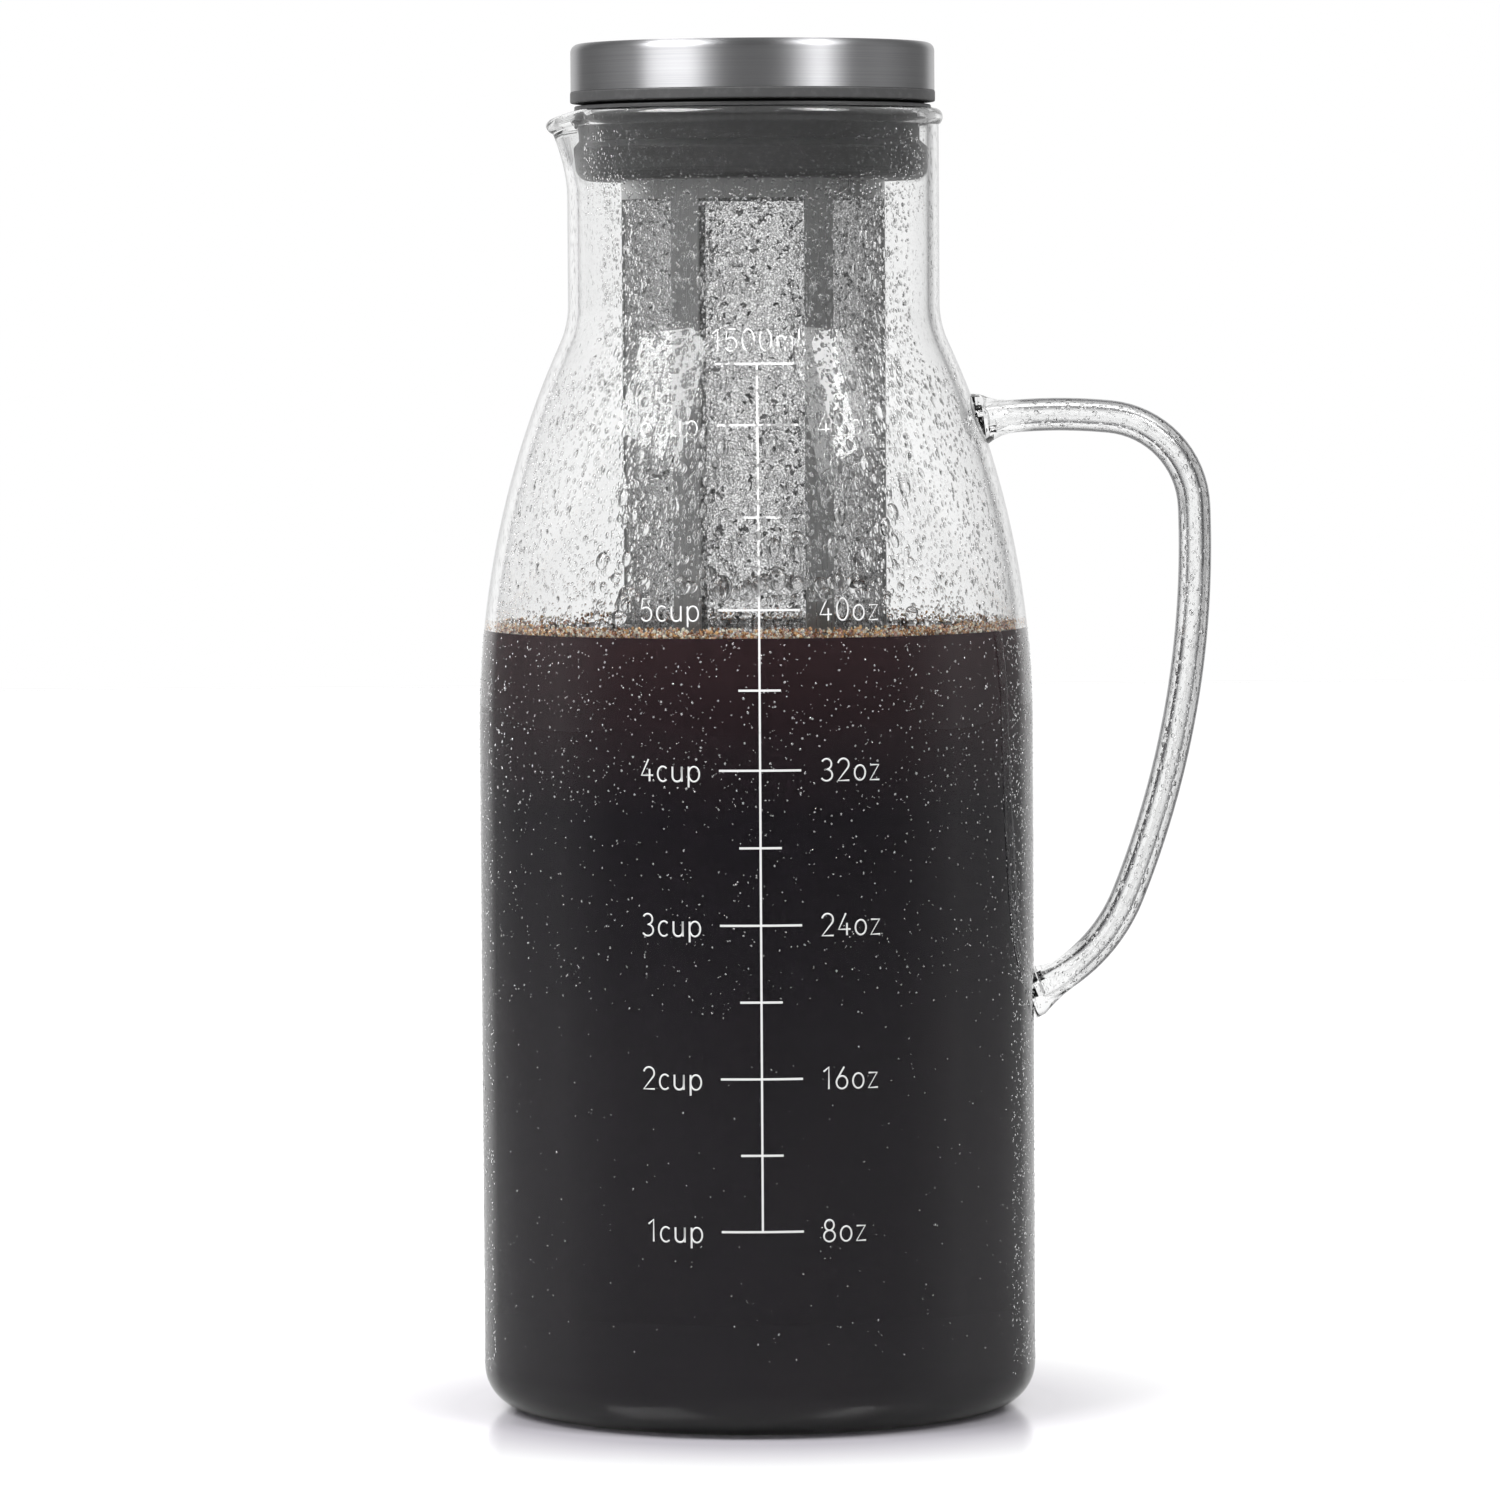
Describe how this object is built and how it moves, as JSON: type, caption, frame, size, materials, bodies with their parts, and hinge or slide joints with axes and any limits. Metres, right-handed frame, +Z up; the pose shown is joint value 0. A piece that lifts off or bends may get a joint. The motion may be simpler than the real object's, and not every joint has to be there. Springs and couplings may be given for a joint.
{
  "type": "cold brew coffee maker",
  "caption": "Glass jug with pouring lip and fused hollow handle, a long steel filter hung in its neck on a silicone stopper, and a steel-topped plug lid.",
  "frame": {"origin": "centre of the flat base that the jug stands on", "axes": "+Z up along the jug's axis, +X towards the handle, -X towards the pouring lip, -Y towards the printed scale"},
  "size_m": [0.141, 0.1065, 0.262],
  "materials": {
    "clear_glass": "clear borosilicate glass",
    "white_enamel": "white enamel print",
    "black_silicone": "satin silicone",
    "filter_steel": "satin stainless steel",
    "steel_mesh": "fine woven stainless mesh",
    "brushed_steel_cap": "brushed round the rim",
    "black_plastic": "moulded plastic"
  },
  "bodies": {
    "carafe": {"carafe_body": "clear_glass", "carafe_shoulder": "clear_glass", "carafe_neck": "clear_glass", "carafe_handle": "clear_glass", "graduation_scale": "white_enamel"},
    "filter_unit": {"neck_stopper": "black_silicone", "filter_collar": "filter_steel", "filter_frame": "filter_steel", "filter_mesh": "steel_mesh", "filter_base": "filter_steel"},
    "lid": {"lid_cap": "brushed_steel_cap", "lid_core": "black_plastic", "lid_gasket": "black_silicone", "lid_plug": "black_plastic", "plug_seals": "black_silicone"}
  },
  "joints": [
    {"name": "filter_lift", "type": "slide", "parent": "carafe", "child": "filter_unit", "axis": [0, 0, 1], "range_m": [0, 0.21]},
    {"name": "lid_lift", "type": "slide", "parent": "filter_unit", "child": "lid", "axis": [0, 0, 1], "range_m": [0, 0.04]}
  ]
}
